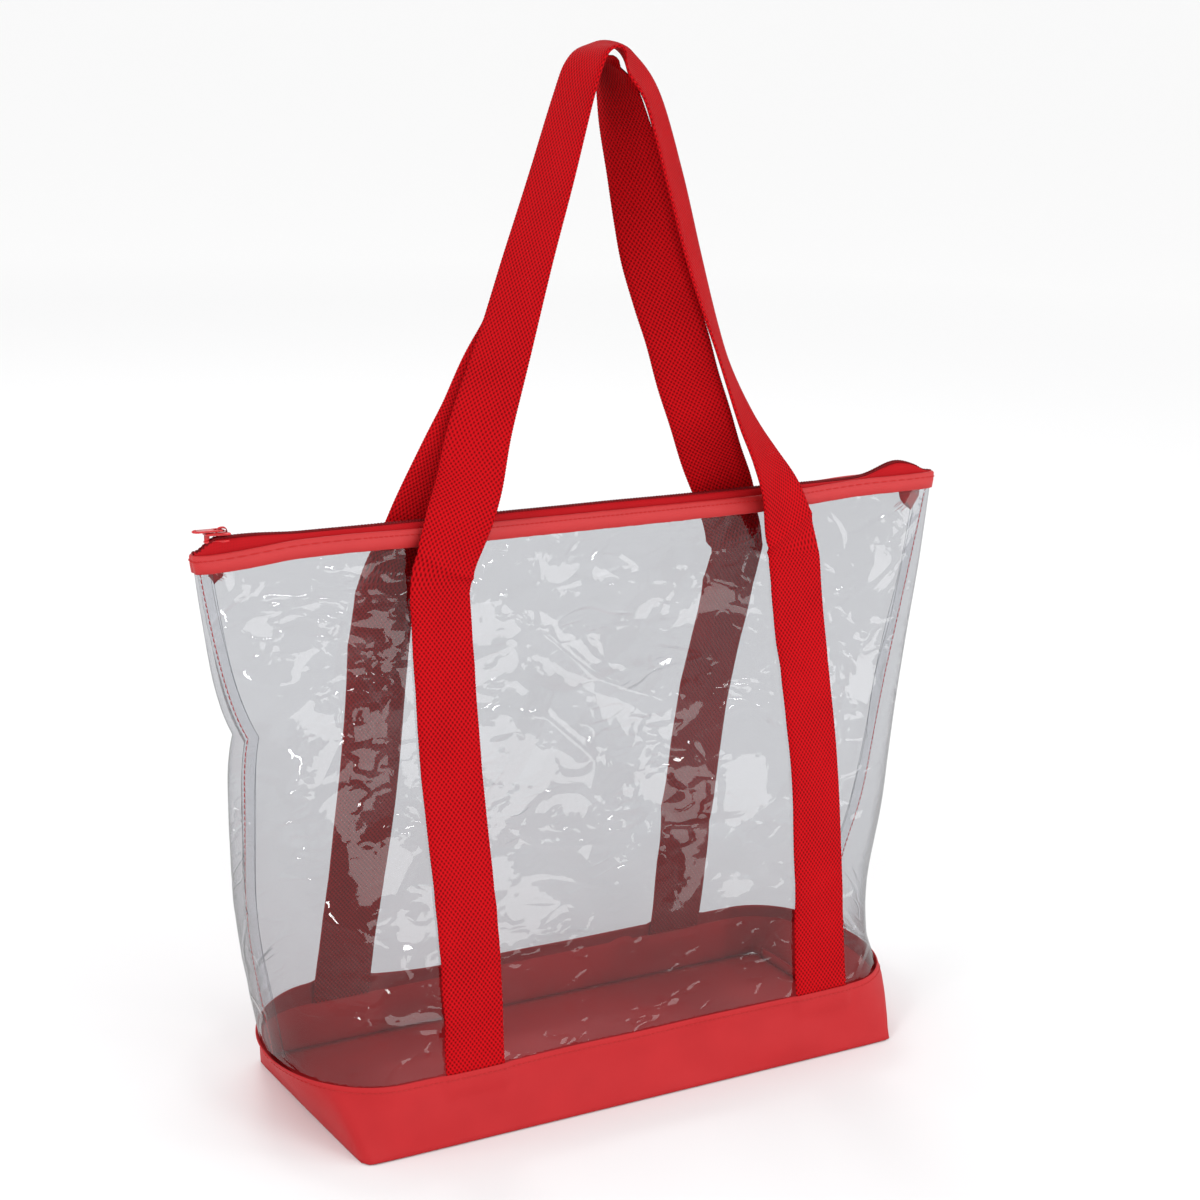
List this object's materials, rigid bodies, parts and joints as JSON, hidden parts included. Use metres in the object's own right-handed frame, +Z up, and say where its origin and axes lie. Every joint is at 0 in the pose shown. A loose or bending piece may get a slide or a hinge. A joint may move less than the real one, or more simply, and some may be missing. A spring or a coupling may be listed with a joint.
{
  "type": "clear zip-top beach tote bag",
  "caption": "Clear vinyl beach bag with a boxed fabric base, a zip along the top and two long webbing handles.",
  "frame": {"origin": "middle of the floor face, on the surface the bag stands on", "axes": "+X to the right along the width seen from the front, front faces -Y, +Z up"},
  "size_m": [0.5122, 0.1586, 0.6159],
  "materials": {
    "vinyl": "clear gloss sheet",
    "vinyl_seam": "doubled clear sheet, sewn",
    "base_fabric": "plain weave, coated inside",
    "binding": "fine canvas",
    "webbing": "ribbed weave",
    "zip_tape": "fine knit",
    "zip_coil": "moulded coil",
    "slider": "gloss enamel"
  },
  "bodies": {
    "bag": {"base_floor": "base_fabric", "base_band_front": "base_fabric", "base_band_back": "base_fabric", "corner_seam_left": "base_fabric", "corner_seam_right": "base_fabric", "side_seam_left": "vinyl_seam", "side_seam_right": "vinyl_seam", "wing_front_left": "vinyl", "wing_front_right": "vinyl", "wing_back_left": "vinyl", "wing_back_right": "vinyl", "binding_left_end": "binding", "binding_right_end": "binding", "zip_tape_left_end": "zip_tape", "zip_tape_right_end": "zip_tape", "zip_coil_left_end": "zip_coil", "zip_coil_right_end": "zip_coil", "zip_tail_left": "zip_tape", "zip_tail_right": "zip_tape"},
    "front_half": {"front_panel": "vinyl", "front_binding": "binding", "front_zip_tape": "zip_tape", "front_zip_coil": "zip_coil", "front_leg_left": "webbing", "front_leg_right": "webbing"},
    "front_handle": {"front_handle_loop": "webbing"},
    "back_half": {"back_panel": "vinyl", "back_binding": "binding", "back_zip_tape": "zip_tape", "back_zip_coil": "zip_coil", "back_leg_left": "webbing", "back_leg_right": "webbing"},
    "back_handle": {"back_handle_loop": "webbing"},
    "zip_slider": {"slider_body": "slider", "slider_bridge": "slider"},
    "zip_pull": {"pull_tab": "slider"}
  },
  "joints": [
    {"name": "front_open", "type": "hinge", "parent": "bag", "child": "front_half", "pos_m": [0, -0.0689, 0.0415], "axis": [1, 0, 0], "range_deg": [0, 9]},
    {"name": "back_open", "type": "hinge", "parent": "bag", "child": "back_half", "pos_m": [0, 0.0689, 0.0415], "axis": [-1, 0, 0], "range_deg": [0, 9]},
    {"name": "slider_travel", "type": "slide", "parent": "bag", "child": "zip_slider", "axis": [1, 0, 0], "range_m": [0, 0.466]},
    {"name": "front_handle_fold", "type": "hinge", "parent": "front_half", "child": "front_handle", "pos_m": [0, -0.0166, 0.306], "axis": [1, 0, 0], "range_deg": [0, 155]},
    {"name": "back_handle_fold", "type": "hinge", "parent": "back_half", "child": "back_handle", "pos_m": [0, 0.0166, 0.306], "axis": [-1, 0, 0], "range_deg": [0, 155]},
    {"name": "pull_flip", "type": "hinge", "parent": "zip_slider", "child": "zip_pull", "pos_m": [-0.237, 0, 0.356], "axis": [0, 1, 0], "range_deg": [0, 175]}
  ],
  "couplings": [
    {"joint": "back_open", "follows": "front_open", "ratio": 1},
    {"joint": "slider_travel", "follows": "front_open", "m_per_rad": 2.966}
  ]
}
